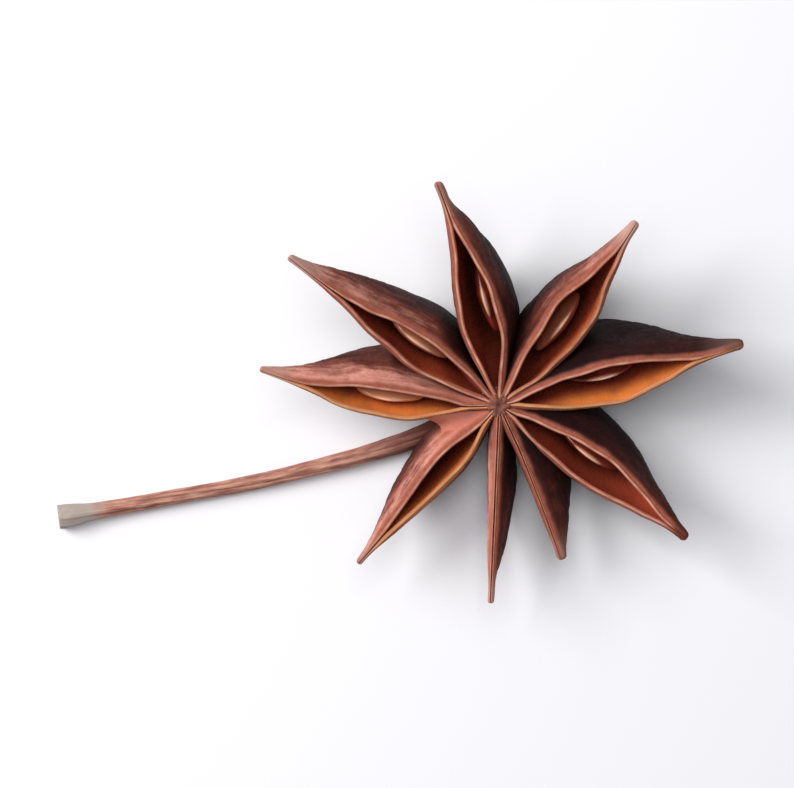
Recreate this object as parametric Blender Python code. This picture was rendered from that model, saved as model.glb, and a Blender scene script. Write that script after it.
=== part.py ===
"""A star anise pod on its stalk: nine boat-shaped carpels round a short column, six of them with a seed.

The pod is worked out in its own frame, in millimetres, with the hub at the origin and +Z out of its face.
It then leans towards -Y, as it lies on a table with its small carpels lowest, and stands on Z = 0.
"""

import math
from dataclasses import dataclass

import bmesh
import bpy
from mathutils import Matrix, Vector

MM = 0.001

# How the pod lies: the hub's place, from the middle of the footprint, and the lean of its face.
HUB = Vector((8.56, -0.98, 7.50))
LEAN = 10.0

# The walls of a carpel.
RIM_THICKNESS = 0.45
FLANK_WALL = 0.5
KEEL_WALL = 1.0
ROLL_FROM_HUB = 0.32
SLIT_START = 0.09
SLIT_END = 0.92
NARROWEST_SLIT = 0.07
SEAM_DEPTH = 0.22
PINCH_FROM_TIP = 0.22
TIP_SHARE = 0.35

# Depth of the keel along a carpel, as (share of the length, share of the depth).
KEEL_LINE = ((0.0, 0.60), (0.18, 0.86), (0.38, 1.0), (0.60, 0.80), (0.80, 0.40), (1.0, 0.06))

# Column, collar and stalk.
COLUMN_RADIUS = 1.05
COLUMN_TOP = 0.12
COLUMN_FOOT = -5.4
COLLAR_RADIUS = 1.9
COLLAR_HEIGHT = 1.5
STALK_SIDES_RESOLUTION = 3
STALK_RESOLUTION = 3

# The stalk's centre line from the hub, and its radius there.
STALK = (
    ((0.0, 0.8, -4.4), 1.15),
    ((-0.8, 0.4, -5.9), 1.0),
    ((-3.2, -0.9, -6.45), 0.92),
    ((-6.6, -2.55, -6.5), 0.84),
    ((-11.6, -4.25, -6.6), 0.70),
    ((-16.4, -5.5, -6.7), 0.62),
    ((-21.2, -6.6, -6.8), 0.59),
    ((-26.0, -7.5, -6.8), 0.60),
    ((-31.0, -8.4, -6.75), 0.62),
    ((-34.6, -9.05, -6.65), 0.70),
    ((-36.2, -9.35, -6.6), 0.90),
    ((-37.4, -9.5, -6.55), 0.95),
)

SEED_LENGTH = 6.4
SEED_HEIGHT = 4.2
SEED_THICKNESS = 2.2
SEED_POINT = 0.22

STATIONS = 13
FLANK_STEPS = 6
CAVITY_STATIONS = 11
SEED_AROUND = 14
SEED_ALONG = 9
MOUTH_CUT = 0.9


@dataclass(frozen=True)
class Carpel:
    """One carpel: angles in degrees, lengths in millimetres."""

    name: str
    azimuth: float  # counter-clockwise from +X
    length: float
    rise: float  # of the tip over the hub
    roll: float  # lean of the mouth to its left, as seen from the hub
    gape: float  # from rim to rim at the widest
    belly: float  # swell of each flank past its rim
    depth: float  # from rim to keel
    bow: float  # sideways bend of its middle, to the left
    widest: float  # share of the length where it gapes most
    seed_at: float = 0.0  # distance of its seed from the hub, or 0 for none
    seed_shift: float = 0.0  # of its seed to the left

    def frame(self, s):
        """The suture's point at share s of the length, and the directions to the left and up there."""
        turn = math.radians(self.azimuth)
        out = Vector((math.cos(turn), math.sin(turn), 0))
        left = Vector((-math.sin(turn), math.cos(turn), 0))
        up = Vector((0, 0, 1))
        centre = out * self.length * s + left * self.bow * 4 * s * (1 - s) + up * self.rise * s**1.6
        roll = math.radians(self.roll) * smooth(s / ROLL_FROM_HUB)
        return (
            centre,
            left * math.cos(roll) - up * math.sin(roll),
            up * math.cos(roll) + left * math.sin(roll),
        )

    def place(self, s, points):
        """Points of a section, as (left, up), brought into the pod's frame."""
        centre, left, up = self.frame(s)
        return [centre + left * x + up * z for x, z in points]

    def rim(self, s):
        """Distance from the suture to the middle of a rim."""
        return self.gape / 2 * swell(s, self.widest)

    def keel(self, s):
        return self.depth * through(KEEL_LINE, s)

    def swelling(self, s):
        return 0.22 + (self.belly - 0.22) * swell(s, 0.40) ** 0.8

    def section(self, s):
        """The outer outline, from the seam down one flank, round the keel and up the other."""
        pinch = TIP_SHARE + (1 - TIP_SHARE) * smooth((1 - s) / PINCH_FROM_TIP)
        half = flank(self.rim(s) + pinch * RIM_THICKNESS / 2, pinch * self.swelling(s), self.keel(s))
        seam = min(SEAM_DEPTH, self.keel(s) / 3)
        return [(0, -seam)] + half + [(-x, z) for x, z in reversed(half[:-1])]

    def hollow(self, s):
        """The outline of the space between the walls, open past the mouth."""
        share = (s - SLIT_START) / (SLIT_END - SLIT_START)
        depth = 0.35 + (self.keel(s) - KEEL_WALL - 0.35) * max(math.sin(math.pi * share), 0) ** 0.6
        rim = max(self.rim(s) - RIM_THICKNESS / 2, NARROWEST_SLIT)
        half = flank(rim, max(self.swelling(s) - FLANK_WALL, 0.02), depth)
        return [(rim, MOUTH_CUT)] + half + [(-x, z) for x, z in reversed(half[:-1])] + [(-rim, MOUTH_CUT)]


CARPELS = (
    Carpel("west", 170.8, 20.3, 1.4, 21, 3.0, 1.4, 9.1, 1.1, 0.46, 9.5, 0.0),
    Carpel("northwest", 143.5, 21.9, 3.1, 16, 2.8, 1.4, 9.0, 0.0, 0.36, 8.8, 0.05),
    Carpel("north", 105.4, 19.9, 2.1, 12, 2.9, 1.4, 9.4, -0.5, 0.39, 8.5, -0.1),
    Carpel("northeast", 54.3, 19.5, 2.1, -10, 3.9, 1.3, 9.2, 0.0, 0.46, 8.2, -0.3),
    Carpel("east", 15.0, 21.1, 1.9, -23, 3.4, 1.4, 9.6, -0.5, 0.46, 8.9, -0.2),
    Carpel("southeast", -35.3, 19.3, 1.7, -20, 2.4, 1.6, 8.3, 0.4, 0.44, 9.0, 0.1),
    Carpel("south_southeast", -68.4, 14.3, 0.0, -32, 0.0, 1.2, 6.4, 0.2, 0.42),
    Carpel("south", -92.4, 16.8, 0.9, -11, 0.0, 1.05, 6.6, 0.0, 0.42),
    Carpel("southwest", -131.6, 17.8, 1.3, 11, 2.1, 1.2, 7.5, 0.0, 0.42),
)


def smooth(t):
    """A step from 0 to 1 with flat ends."""
    t = min(max(t, 0), 1)
    return t * t * (3 - 2 * t)


def swell(s, widest):
    """A lopsided swell along a carpel: 0 at both ends, and 1 at the share of the length given."""
    fall = 1.5
    rise = fall * widest / (1 - widest)
    top = widest**rise * (1 - widest) ** fall
    return s**rise * (1 - s) ** fall / top


def through(points, s):
    """A smooth line through (share, value) points."""
    for i in range(1, len(points)):
        if s <= points[i][0] or i == len(points) - 1:
            break
    (s1, v1), (s2, v2) = points[i - 1], points[i]
    before = points[max(i - 2, 0)]
    after = points[min(i + 1, len(points) - 1)]
    slope1 = (v2 - before[1]) / (s2 - before[0]) * (s2 - s1)
    slope2 = (after[1] - v1) / (after[0] - s1) * (s2 - s1)
    t = (s - s1) / (s2 - s1)
    return (
        (2 * t**3 - 3 * t**2 + 1) * v1
        + (t**3 - 2 * t**2 + t) * slope1
        + (3 * t**2 - 2 * t**3) * v2
        + (t**3 - t**2) * slope2
    )


def flank(rim, swelling, depth):
    """One side of a section, from the rim to the keel."""
    steps = [i / FLANK_STEPS for i in range(FLANK_STEPS + 1)]
    return [
        (
            rim * (1 - t) + swelling * math.sin(math.pi * t),
            -depth * (1 - math.cos(math.pi * t)) / 2,
        )
        for t in steps
    ]


def stations(start, end, count):
    """Shares of the length, closer together at both ends."""
    return [start + (end - start) * (1 - math.cos(math.pi * i / (count - 1))) / 2 for i in range(count)]


def lay_down():
    """From the pod's own frame, in millimetres, to where it lies, in metres."""
    return Matrix.Scale(MM, 4) @ Matrix.Translation(HUB) @ Matrix.Rotation(math.radians(LEAN), 4, "X")


def clear_scene():
    for obj in list(bpy.data.objects):
        bpy.data.objects.remove(obj, do_unlink=True)
    for collection in list(bpy.data.collections):
        bpy.data.collections.remove(collection)


def collection(name):
    made = bpy.data.collections.new(name)
    bpy.context.scene.collection.children.link(made)
    return made


def material(name, colour, roughness):
    made = bpy.data.materials.new(name)
    made.use_nodes = True
    shader = made.node_tree.nodes["Principled BSDF"]
    shader.inputs["Base Color"].default_value = (*colour, 1)
    shader.inputs["Roughness"].default_value = roughness
    shader.inputs["Metallic"].default_value = 0
    return made


def add_object(name, bm, where, matrix=None):
    """A bmesh made an object, with its place in its mesh, in triangles so that every face is flat."""
    if matrix:
        bm.transform(matrix)
    bmesh.ops.recalc_face_normals(bm, faces=bm.faces)
    bmesh.ops.triangulate(bm, faces=bm.faces)
    mesh = bpy.data.meshes.new(name)
    bm.to_mesh(mesh)
    bm.free()
    obj = bpy.data.objects.new(name, mesh)
    where.objects.link(obj)
    return obj


def loft(name, rings, where):
    """A closed solid through rings of points, each with as many points as the next."""
    bm = bmesh.new()
    loops = [[bm.verts.new(point) for point in ring] for ring in rings]
    count = len(loops[0])
    for first, second in zip(loops, loops[1:]):
        for i in range(count):
            j = (i + 1) % count
            bm.faces.new((first[i], first[j], second[j], second[i]))
    bm.faces.new(loops[0])
    bm.faces.new(loops[-1])
    return add_object(name, bm, where, lay_down())


def carpel_body(carpel, where):
    shares = stations(0.03, 1.0, STATIONS)
    return loft(f"{carpel.name}_body", [carpel.place(s, carpel.section(s)) for s in shares], where)


def carpel_hollow(carpel, where):
    shares = stations(SLIT_START, SLIT_END, CAVITY_STATIONS)
    return loft(f"{carpel.name}_hollow", [carpel.place(s, carpel.hollow(s)) for s in shares], where)


def column(where):
    """The column that the carpels grow round, widening to a collar over the stalk."""
    bm = bmesh.new()
    height = COLUMN_TOP - COLUMN_FOOT
    bmesh.ops.create_cone(
        bm,
        cap_ends=True,
        segments=16,
        radius1=COLLAR_RADIUS,
        radius2=COLUMN_RADIUS,
        depth=COLLAR_HEIGHT,
        matrix=Matrix.Translation((0, 0, COLUMN_FOOT + COLLAR_HEIGHT / 2)),
    )
    top = max(bm.faces, key=lambda face: face.calc_center_median().z)
    lifted = bmesh.ops.extrude_discrete_faces(bm, faces=[top])["faces"][0]
    bmesh.ops.translate(bm, verts=lifted.verts, vec=(0, 0, height - COLLAR_HEIGHT))
    return add_object("column", bm, where, lay_down())


def stalk(where):
    """The stalk, which bends under the hub and runs out between two carpels to its broken end."""
    curve = bpy.data.curves.new("stalk", "CURVE")
    curve.dimensions = "3D"
    curve.bevel_depth = MM
    curve.bevel_resolution = STALK_SIDES_RESOLUTION
    curve.use_fill_caps = True
    curve.resolution_u = STALK_RESOLUTION
    spline = curve.splines.new("BEZIER")
    spline.bezier_points.add(len(STALK) - 1)
    for point, (place, radius) in zip(spline.bezier_points, STALK):
        point.co = (HUB + Vector(place)) * MM
        point.radius = radius
        point.handle_left_type = "AUTO"
        point.handle_right_type = "AUTO"
    drawn = bpy.data.objects.new("stalk_line", curve)
    where.objects.link(drawn)
    bpy.context.view_layer.update()
    mesh = bpy.data.meshes.new_from_object(drawn.evaluated_get(bpy.context.evaluated_depsgraph_get()))
    bm = bmesh.new()
    bm.from_mesh(mesh)
    bpy.data.meshes.remove(mesh)
    bpy.data.objects.remove(drawn, do_unlink=True)
    bmesh.ops.remove_doubles(bm, verts=bm.verts, dist=1e-7)
    return add_object("stalk", bm, where)


def table(where):
    """A block under the table top, which leaves each keel that reaches it a small flat spot."""
    bm = bmesh.new()
    bmesh.ops.create_cube(bm, size=100 * MM, matrix=Matrix.Translation((0, 0, -50 * MM)))
    return add_object("table", bm, where)


def seed(carpel, where):
    """A flattened seed on edge in its carpel, a little pointed towards the hub."""
    bm = bmesh.new()
    bmesh.ops.create_uvsphere(bm, u_segments=SEED_AROUND, v_segments=SEED_ALONG, radius=1)
    bm.transform(Matrix.Rotation(math.pi / 2, 4, "Y"))
    for vert in bm.verts:
        x, y, z = vert.co
        slim = 1 - SEED_POINT * max(-x, 0)
        vert.co = (x * SEED_LENGTH / 2, y * slim * SEED_THICKNESS / 2, z * slim * SEED_HEIGHT / 2)
    centre, left, up = carpel.frame(carpel.seed_at / carpel.length)
    middle = centre + left * carpel.seed_shift - up * (SEED_HEIGHT / 2 + 1.1)
    out = left.cross(up)
    turned = Matrix((out, left, up)).transposed().to_4x4()
    return add_object(f"seed_{carpel.name}", bm, where, lay_down() @ Matrix.Translation(middle) @ turned)


def combine(target, operation, others):
    """An EXACT Boolean of each of the others with the target, in turn."""
    for other in others:
        modifier = target.modifiers.new(f"{operation.lower()}_{other.name}", "BOOLEAN")
        modifier.operation = operation
        modifier.solver = "EXACT"
        modifier.object = other


def hide(obj):
    obj.hide_render = True
    obj.display_type = "WIRE"


def main():
    clear_scene()
    parts = collection("star_anise_pod")
    cutters = collection("cutters")

    husk = material("husk", (0.115, 0.042, 0.026), 0.7)
    seed_coat = material("seed_coat", (0.26, 0.075, 0.028), 0.25)

    bodies = [carpel_body(carpel, cutters) for carpel in CARPELS]
    hollows = [carpel_hollow(carpel, cutters) for carpel in CARPELS if carpel.gape]
    helpers = bodies + [stalk(cutters)]
    under = table(cutters)
    pod = column(parts)
    pod.name = "pod"
    combine(pod, "UNION", helpers)
    combine(pod, "DIFFERENCE", hollows + [under])
    pod.data.materials.append(husk)
    for helper in helpers + hollows + [under]:
        hide(helper)

    for carpel in CARPELS:
        if carpel.seed_at:
            made = seed(carpel, parts)
            made.data.materials.append(seed_coat)
            made.data.shade_smooth()


main()
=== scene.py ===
"""The looks of a dried star anise pod: woody carpels split open over polished seeds, on a curved stalk.

The pod is worked out in its own frame, in millimetres, with the hub at the origin and +Z out of its face,
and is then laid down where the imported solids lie.
"""

import logging
import math
from dataclasses import dataclass
from enum import Enum
from typing import Callable, Sequence

import bmesh
import bpy
import numpy as np
from mathutils import Matrix, Vector, noise


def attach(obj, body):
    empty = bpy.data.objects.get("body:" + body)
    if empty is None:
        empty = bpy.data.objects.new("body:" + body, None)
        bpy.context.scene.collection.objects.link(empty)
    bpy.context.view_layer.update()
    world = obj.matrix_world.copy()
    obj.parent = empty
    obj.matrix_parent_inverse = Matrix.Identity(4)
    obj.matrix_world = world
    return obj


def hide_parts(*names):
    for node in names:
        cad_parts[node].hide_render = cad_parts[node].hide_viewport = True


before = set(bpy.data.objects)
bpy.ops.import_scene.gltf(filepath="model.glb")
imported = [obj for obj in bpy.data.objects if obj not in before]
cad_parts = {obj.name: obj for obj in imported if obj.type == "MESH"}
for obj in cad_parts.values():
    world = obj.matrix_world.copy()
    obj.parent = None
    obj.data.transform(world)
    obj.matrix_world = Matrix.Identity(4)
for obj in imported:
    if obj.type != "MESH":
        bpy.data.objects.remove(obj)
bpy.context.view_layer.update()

LOG = logging.getLogger("star_anise_pod")

MM = 0.001

# How the pod lies: the hub's place from the middle of the footprint, and the lean of its face.
HUB = Vector((8.56, -0.98, 7.50))
LEAN = 10.0

Array = np.ndarray


class Zone(Enum):
    """The parts of the way round a carpel's wall."""

    OUTER = 0
    LIP = 1
    INNER = 2


@dataclass(frozen=True)
class CarpelPlan:
    """One carpel's own sizes: angles in degrees, lengths in millimetres."""

    name: str
    azimuth: float  # counter-clockwise from +X
    length: float
    rise: float  # of the tip over the hub
    roll: float  # lean of the mouth to its left, as seen from the hub
    gape: float  # from rim to rim at the widest
    belly: float  # swell of each flank past its rim
    depth: float  # from rim to keel
    bow: float  # sideways bend of its middle, to the left
    opens: float  # share of the length where its lips part
    widest: float  # where it gapes most
    closes: float  # where the lips meet again, to run on shut as a beak
    tip: float  # half the thickness of its blunt end
    tone: tuple[float, float]  # paleness of its skin on the left and the right, from 0, near black, to 1, pale: partly its own colour, partly painted light and shade, paler on the side facing the window light and darker in a neighbour's shadow
    painted_light: float  # of light painted onto its inner wall and lips, full on the side it leans to and a quarter on the other: from 0, maroon all over, to 1, lit orange
    fade: float  # of its tip to tan, from 0 to 1
    seed_at: float = 0.0  # distance of its seed from the hub, or 0 for none
    seed_shift: float = 0.0  # of its seed to the left
    dulled: float = 0.0  # share of its paleness that its skin loses towards the tip


PLANS = (
    CarpelPlan(
        "west", 170.8, 20.3, 1.4, 21, 2.7, 1.4, 9.1, 1.2,
        0.12, 0.46, 0.92, 0.16, (0.5, 0.82), 1.0, 0.6, 9.2, 0.3,
    ),
    CarpelPlan(
        "northwest", 143.5, 21.9, 3.1, 16, 2.7, 1.4, 9.0, 0.3,
        0.02, 0.38, 0.84, 0.24, (0.4, 0.48), 0.3, 1.0, 8.6, -0.15,
    ),
    CarpelPlan(
        "north", 105.4, 19.9, 2.1, 12, 3.0, 1.4, 9.4, -0.5,
        0.02, 0.39, 0.92, 0.3, (0.34, 0.2), 0.15, 0.45, 8.8, -0.45,
    ),
    CarpelPlan(
        "northeast", 54.3, 19.5, 2.1, -10, 3.3, 1.3, 9.2, -0.5,
        0.03, 0.48, 0.94, 0.34, (0.42, 0.3), 0.5, 0.9, 8.4, 0.0,
    ),
    CarpelPlan(
        "east", 15.0, 21.1, 1.9, -23, 3.7, 1.4, 9.6, -0.6,
        0.05, 0.45, 0.9, 0.42, (0.07, 0.3), 0.95, 0.15, 9.0, 0.1,
    ),
    CarpelPlan(
        "southeast", -35.3, 19.3, 1.7, -20, 3.1, 1.6, 8.3, 0.2,
        0.05, 0.5, 0.99, 0.4, (0.13, 0.2), 0.12, 0.0, 8.6, 0.2,
    ),
    CarpelPlan(
        "south_southeast", -68.4, 14.3, 0.0, -32, 0.0, 1.2, 6.4, 0.2,
        0.0, 0.42, 1.0, 0.4, (0.2, 0.4), 0.4, 0.3,
    ),
    CarpelPlan(
        "south", -92.4, 16.8, 0.9, -11, 0.0, 1.05, 6.6, 0.0,
        0.0, 0.42, 1.0, 0.2, (0.2, 0.72), 0.4, 0.6,
    ),
    CarpelPlan(
        "southwest", -131.6, 17.8, 1.3, 11, 2.0, 1.2, 7.5, 0.1,
        0.08, 0.4, 0.98, 0.2, (0.4, 0.8), 0.8, 0.4, dulled=0.38,
    ),
)

# Depth of the keel along a carpel, as (share of the length, share of the depth).
KEEL_LINE = ((0.0, 0.60), (0.18, 0.86), (0.38, 1.0), (0.60, 0.80), (0.80, 0.40), (1.0, 0.06))

# Share of a carpel's length over which its roll grows from none at the hub.
ROLL_FROM_HUB = 0.32

# The stalk's centre line from the hub, and its radius there.
STALK_LINE = (
    ((0.0, 0.8, -4.4), 1.15),
    ((-0.8, 0.4, -5.9), 1.0),
    ((-3.2, -0.9, -6.45), 0.92),
    ((-6.6, -2.55, -6.5), 0.84),
    ((-11.6, -4.25, -6.6), 0.70),
    ((-16.4, -5.5, -6.7), 0.62),
    ((-21.2, -6.6, -6.8), 0.59),
    ((-26.0, -7.5, -6.8), 0.60),
    ((-31.0, -8.4, -6.75), 0.62),
    ((-34.6, -9.05, -6.65), 0.70),
    ((-36.2, -9.35, -6.6), 0.90),
    ((-37.35, -9.5, -6.55), 0.95),
)


def smooth(t: Array | float) -> Array:
    """A step from 0 to 1 with flat ends."""
    t = np.clip(t, 0.0, 1.0)
    return t * t * (3 - 2 * t)


def swell(s: Array, widest: float) -> Array:
    """A lopsided swell along a carpel: 0 at both ends, and 1 at the share of the length given."""
    fall = 1.5
    rise = fall * widest / (1 - widest)
    return s**rise * (1 - s) ** fall / (widest**rise * (1 - widest) ** fall)


def through(points: Sequence[tuple[float, float]], s: Array) -> Array:
    """A smooth line through points.

    Args:
        points: (share, value) pairs in order.
        s: The shares at which it is read.

    Returns:
        The values there.
    """
    shares = np.array([point[0] for point in points])
    values = np.array([point[1] for point in points])
    i = np.clip(np.searchsorted(shares, s, side="left"), 1, len(points) - 1)
    before = np.maximum(i - 2, 0)
    after = np.minimum(i + 1, len(points) - 1)
    step = shares[i] - shares[i - 1]
    slope1 = (values[i] - values[before]) / (shares[i] - shares[before]) * step
    slope2 = (values[after] - values[i - 1]) / (shares[after] - shares[i - 1]) * step
    t = (s - shares[i - 1]) / step
    return (
        (2 * t**3 - 3 * t**2 + 1) * values[i - 1]
        + (t**3 - 2 * t**2 + t) * slope1
        + (3 * t**2 - 2 * t**3) * values[i]
        + (t**3 - t**2) * slope2
    )


def speckle(points: Array, size: float, seed: float) -> Array:
    """Smooth noise from about -1 to 1 at each point, with features of the size given, in the points' units."""
    shift = Vector((seed * 17.3, seed * -9.1, seed * 5.7))
    return np.array([noise.noise(Vector(point) / size + shift) for point in points])


def wrinkle(points: Array, size: float, seed: float) -> Array:
    """Sharp creases from 0, in a crease, to 1, between them, with the spacing given."""
    return 1 - np.exp(-((speckle(points, size, seed) / 0.16) ** 2))


def lay_down() -> Matrix:
    """From the pod's own frame, in millimetres, to where it lies, in metres."""
    return Matrix.Scale(MM, 4) @ Matrix.Translation(HUB) @ Matrix.Rotation(math.radians(LEAN), 4, "X")


def put(bm: bmesh.types.BMesh, places: Array) -> None:
    """Moves each vertex of a bmesh to its place."""
    for vert, place in zip(bm.verts, places):
        vert.co = place


def places_of(bm: bmesh.types.BMesh) -> Array:
    """The places of a bmesh's vertices."""
    return np.array([vert.co for vert in bm.verts])


def normals_of(bm: bmesh.types.BMesh) -> Array:
    """The outward normals of a bmesh's vertices."""
    bm.normal_update()
    return np.array([vert.normal for vert in bm.verts])


def mark(bm: bmesh.types.BMesh, name: str, values: Array) -> None:
    """Stores a number on each vertex, for its material to read."""
    layer = bm.verts.layers.float.get(name) or bm.verts.layers.float.new(name)
    for vert, value in zip(bm.verts, values):
        vert[layer] = float(value)


def marked(bm: bmesh.types.BMesh, name: str) -> Array:
    """The numbers that mark stored."""
    layer = bm.verts.layers.float[name]
    return np.array([vert[layer] for vert in bm.verts])


def close_up(bm: bmesh.types.BMesh) -> None:
    """Merges the seam and the poles of a wrapped grid, and turns its faces outwards."""
    bmesh.ops.remove_doubles(bm, verts=bm.verts, dist=1e-5)
    bmesh.ops.recalc_face_normals(bm, faces=bm.faces)


def finish_piece(name: str, bm: bmesh.types.BMesh, *finishes: bpy.types.Material) -> bpy.types.Object:
    """Makes a smooth-shaded object of a bmesh that is already where it lies.

    Args:
        name: The piece's name.
        bm: Its mesh, in metres, which is freed.
        finishes: Its materials, in the order that its faces count them.

    Returns:
        The object, at the origin.
    """
    for face in bm.faces:
        face.smooth = True
    mesh = bpy.data.meshes.new(name)
    bm.to_mesh(mesh)
    bm.free()
    for finish in finishes:
        mesh.materials.append(finish)
    piece = bpy.data.objects.new(name, mesh)
    bpy.context.scene.collection.objects.link(piece)
    return piece


def rest_on_table(places: Array) -> Array:
    """Keeps places, in metres, off what lies below the table top."""
    places[:, 2] = np.maximum(places[:, 2], 0.0)
    return places


def linear(code: str) -> tuple[float, float, float, float]:
    """A colour from its sRGB hex code, as the linear values that a shader takes."""
    parts = [int(code[i : i + 2], 16) / 255 for i in (1, 3, 5)]
    return (*(p / 12.92 if p <= 0.04045 else ((p + 0.055) / 1.055) ** 2.4 for p in parts), 1.0)


def add_node(
    tree: bpy.types.NodeTree,
    kind: str,
    settings: dict[str, object] | None = None,
    inputs: dict[str | int, object] | None = None,
) -> bpy.types.Node:
    """Adds one node to a material.

    Args:
        tree: The material's node tree.
        kind: The node's type name.
        settings: Its properties.
        inputs: For each input, by name or number, a value or the output socket that it is linked to.

    Returns:
        The node.
    """
    node = tree.nodes.new(kind)
    for name, value in (settings or {}).items():
        setattr(node, name, value)
    for key, value in (inputs or {}).items():
        if isinstance(value, bpy.types.NodeSocket):
            tree.links.new(value, node.inputs[key])
        else:
            node.inputs[key].default_value = value
    return node


def blank_material(name: str) -> tuple[bpy.types.Material, bpy.types.NodeTree, bpy.types.Node]:
    """A material with its node tree and its Principled shader."""
    made = bpy.data.materials.new(name)
    made.use_nodes = True
    return made, made.node_tree, made.node_tree.nodes["Principled BSDF"]


def mixed(
    tree: bpy.types.NodeTree, factor: object, first: object, second: object, blend: str = "MIX"
) -> bpy.types.NodeSocket:
    """The colour output of a mix of two colours, each a hex code's values or a socket."""
    settings = {"data_type": "RGBA", "blend_type": blend}
    return add_node(tree, "ShaderNodeMix", settings, {0: factor, 6: first, 7: second}).outputs[2]


def ranged(
    tree: bpy.types.NodeTree, value: object, low: float, high: float, start: float = 0.0, end: float = 1.0
) -> bpy.types.NodeSocket:
    """A value's stretch from low to high, brought smoothly to start to end."""
    inputs = {0: value, 1: low, 2: high, 3: start, 4: end}
    return add_node(tree, "ShaderNodeMapRange", {"interpolation_type": "SMOOTHSTEP"}, inputs).outputs[0]


def worked(
    tree: bpy.types.NodeTree, operation: str, first: object, second: object, third: object = 0.5
) -> bpy.types.NodeSocket:
    """The output of a sum, product or other operation on two or three numbers."""
    inputs = {0: first, 1: second, 2: third}
    return add_node(tree, "ShaderNodeMath", {"operation": operation}, inputs).outputs[0]


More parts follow.
